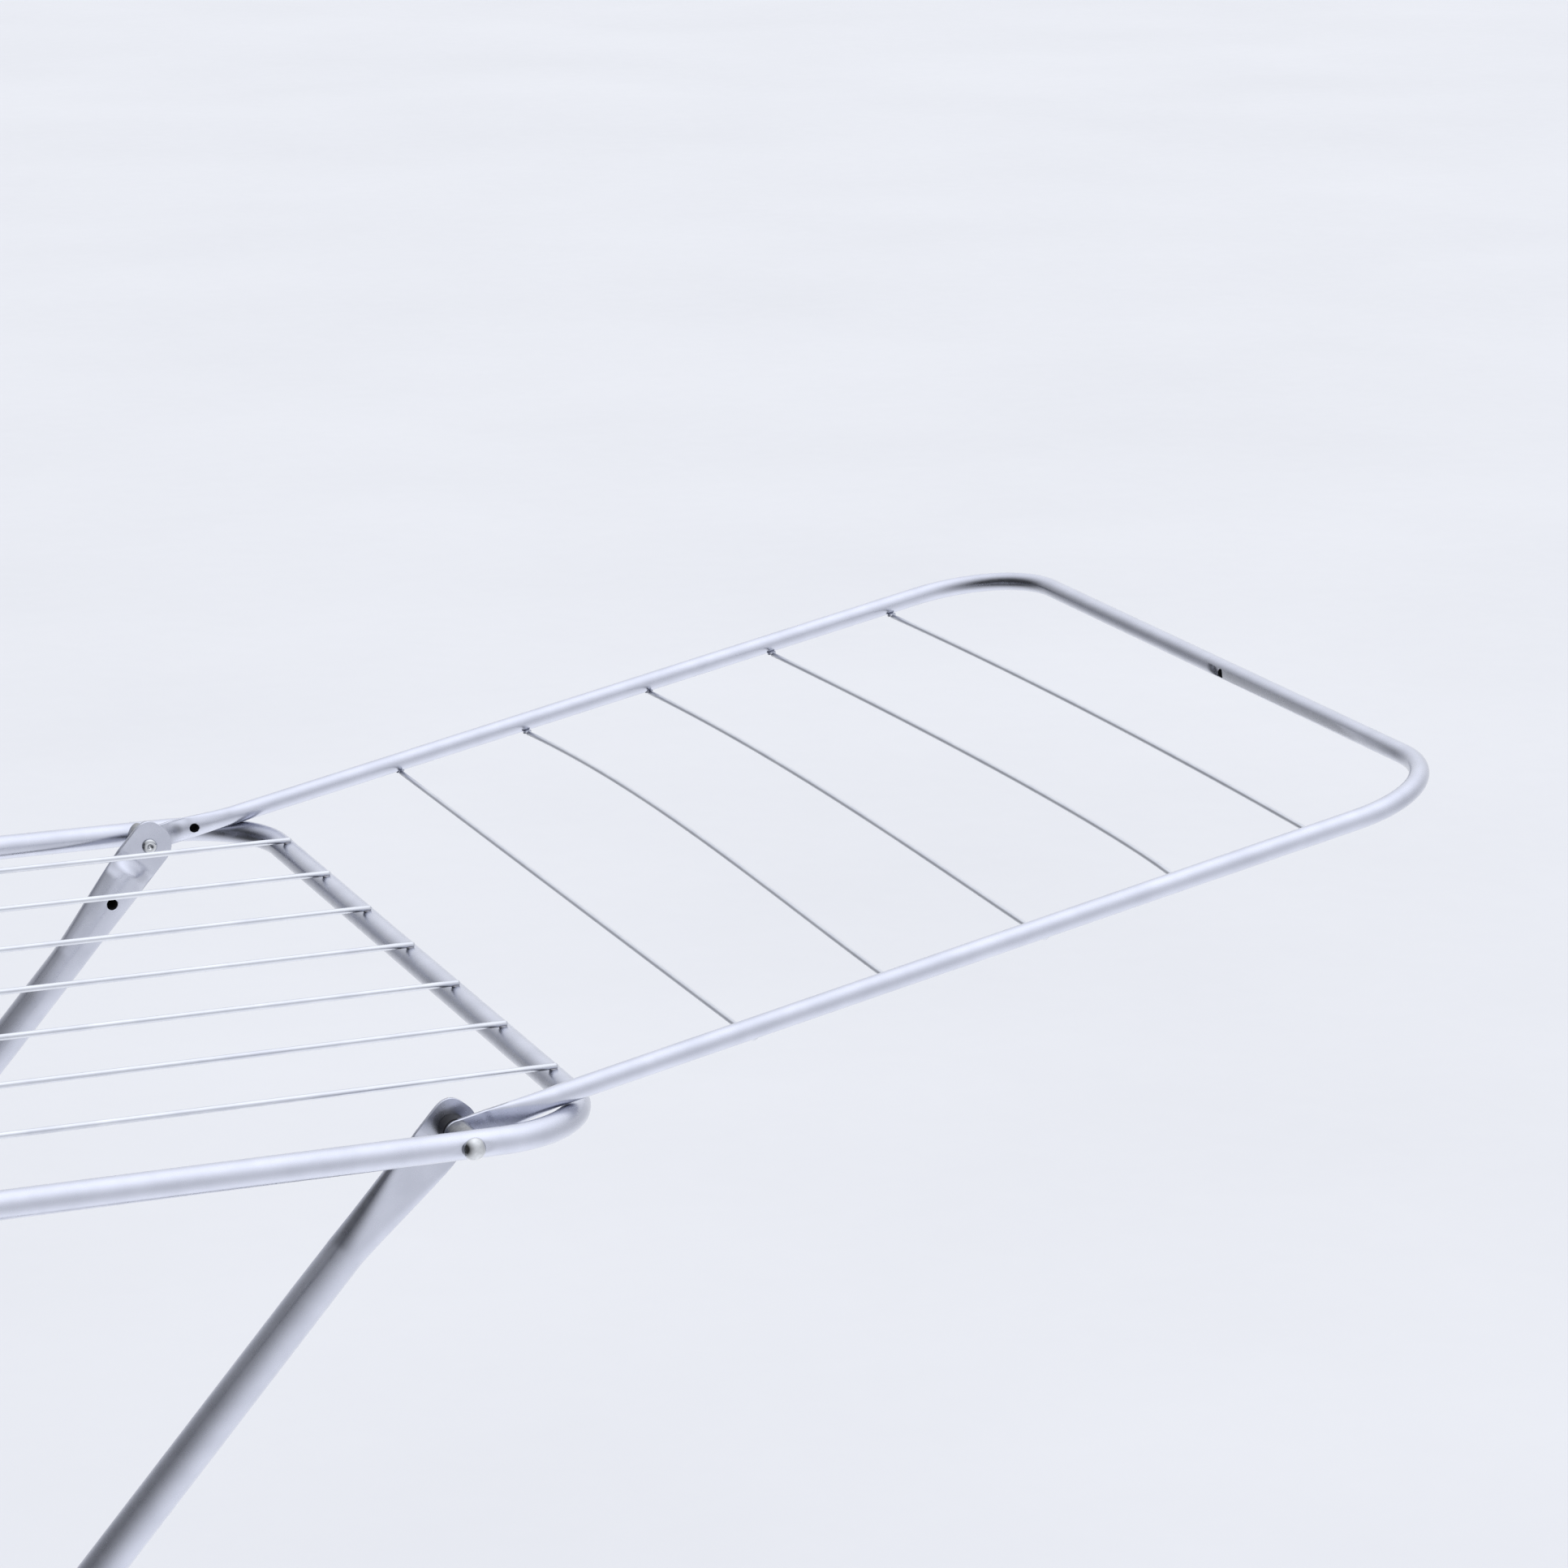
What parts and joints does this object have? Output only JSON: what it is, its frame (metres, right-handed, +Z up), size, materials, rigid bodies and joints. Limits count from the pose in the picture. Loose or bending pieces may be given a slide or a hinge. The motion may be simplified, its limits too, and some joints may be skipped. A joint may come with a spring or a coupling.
{
  "type": "folding clothes airer",
  "caption": "Free-standing folding clothes airer of coated steel tube with a wire-decked main frame, two hinged wings and crossed legs.",
  "frame": {"origin": "on the floor, midway between the wing tips and midway across the width", "axes": "+X along the length towards the wing seen in the picture, +Y across the width, away from the picture's viewer, +Z up"},
  "size_m": [1.7256, 0.58, 1.0333],
  "materials": {
    "tube_coat": "satin metallic powder coat on steel tube",
    "wire_coat": "satin metallic powder coat on drawn steel wire",
    "rivet_chrome": "bright plated steel",
    "bush_steel": "turned steel",
    "washer_plastic": "dark moulded nylon",
    "clip_plastic": "grey moulded plastic",
    "foot_plastic": "grey moulded plastic"
  },
  "bodies": {
    "leg_frame_a": {"leg_outer_tube": "tube_coat", "cross_rivet_near": "rivet_chrome", "cross_rivet_far": "rivet_chrome", "cross_washer_near": "washer_plastic", "cross_washer_far": "washer_plastic", "foot_pad_outer_near": "foot_plastic", "foot_pad_outer_far": "foot_plastic"},
    "leg_frame_b": {"leg_inner_tube": "tube_coat", "leg_top_bar": "tube_coat", "bar_plug_near": "clip_plastic", "bar_plug_far": "clip_plastic", "foot_pad_inner_near": "foot_plastic", "foot_pad_inner_far": "foot_plastic"},
    "main_frame": {"main_frame_tube": "tube_coat", "main_wire_1": "wire_coat", "main_wire_2": "wire_coat", "main_wire_3": "wire_coat", "main_wire_4": "wire_coat", "main_wire_5": "wire_coat", "main_wire_6": "wire_coat", "main_wire_7": "wire_coat", "bar_clip_near": "clip_plastic", "bar_clip_far": "clip_plastic", "pivot_rivet_right_near": "rivet_chrome", "pivot_rivet_right_far": "rivet_chrome", "pivot_rivet_left_near": "rivet_chrome", "pivot_rivet_left_far": "rivet_chrome", "pivot_bush_right_near": "bush_steel", "pivot_bush_right_far": "bush_steel", "pivot_bush_left_near": "bush_steel", "pivot_bush_left_far": "bush_steel", "pivot_washer_right_near": "washer_plastic", "pivot_washer_right_far": "washer_plastic", "pivot_washer_left_near": "washer_plastic", "pivot_washer_left_far": "washer_plastic"},
    "wing_right": {"wing_right_tube": "tube_coat", "wing_right_wire_1": "wire_coat", "wing_right_wire_2": "wire_coat", "wing_right_wire_3": "wire_coat", "wing_right_wire_4": "wire_coat", "wing_right_wire_5": "wire_coat"},
    "wing_left": {"wing_left_tube": "tube_coat", "wing_left_wire_1": "wire_coat", "wing_left_wire_2": "wire_coat", "wing_left_wire_3": "wire_coat", "wing_left_wire_4": "wire_coat", "wing_left_wire_5": "wire_coat"}
  },
  "joints": [
    {"name": "frame_fold", "type": "hinge", "parent": "leg_frame_a", "child": "main_frame", "pos_m": [0.3565, 0, 0.92], "axis": [0, -1, 0], "range_deg": [0, 45]},
    {"name": "leg_scissor", "type": "hinge", "parent": "leg_frame_a", "child": "leg_frame_b", "pos_m": [0, 0, 0.51], "axis": [0, -1, 0], "range_deg": [0, 90]},
    {"name": "wing_right_fold", "type": "hinge", "parent": "main_frame", "child": "wing_right", "pos_m": [0.3565, 0, 0.92], "axis": [0, -1, 0], "range_deg": [0, 158]},
    {"name": "wing_left_fold", "type": "hinge", "parent": "main_frame", "child": "wing_left", "pos_m": [-0.3565, 0, 0.92], "axis": [0, 1, 0], "range_deg": [0, 165]}
  ],
  "couplings": [
    {"joint": "leg_scissor", "follows": "frame_fold", "ratio": 2}
  ]
}
